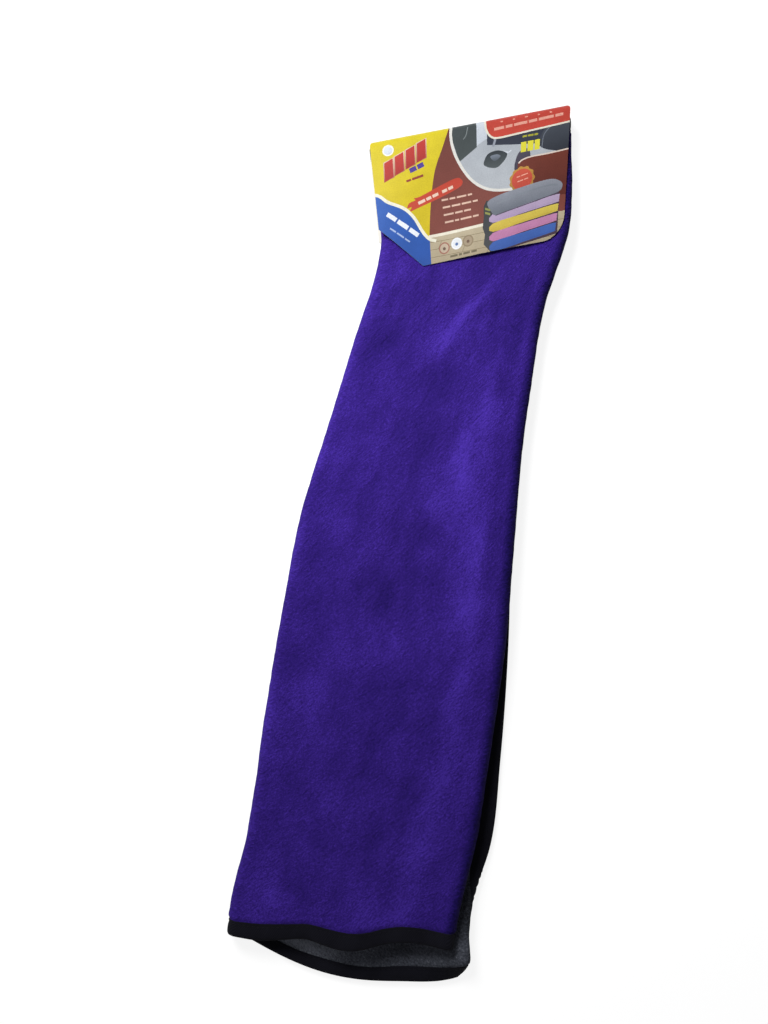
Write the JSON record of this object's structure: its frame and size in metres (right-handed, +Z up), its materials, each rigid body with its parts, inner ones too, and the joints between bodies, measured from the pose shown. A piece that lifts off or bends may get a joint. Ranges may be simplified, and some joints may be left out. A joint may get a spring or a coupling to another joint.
{
  "type": "folded plush towel with header card",
  "caption": "Double-faced microfibre plush towel with bound edges, folded in three lengthwise under a printed header card.",
  "frame": {"origin": "under the middle of the bounding box, on the surface the towel lies on", "axes": "+Y along the folded towel from its open end to the card, +X to the right seen from above, +Z up through the layers"},
  "size_m": [0.2032, 0.764, 0.024],
  "materials": {
    "purple plush": "velvety coral-fleece pile",
    "dark grey plush": "velvety short pile",
    "black binding tape": "matt knitted tape",
    "printed board": "film-laminated printed cardboard, semi-gloss",
    "clear adhesive strip": "double-sided tape"
  },
  "bodies": {
    "root": {"purple_ply": "purple plush", "grey_ply": "dark grey plush", "near_end_binding": "black binding tape", "far_end_binding": "black binding tape", "outer_side_binding": "black binding tape", "inner_side_binding": "black binding tape", "header_card": "printed board", "front_adhesive_strip": "clear adhesive strip", "rear_adhesive_strip": "clear adhesive strip"}
  },
  "joints": []
}
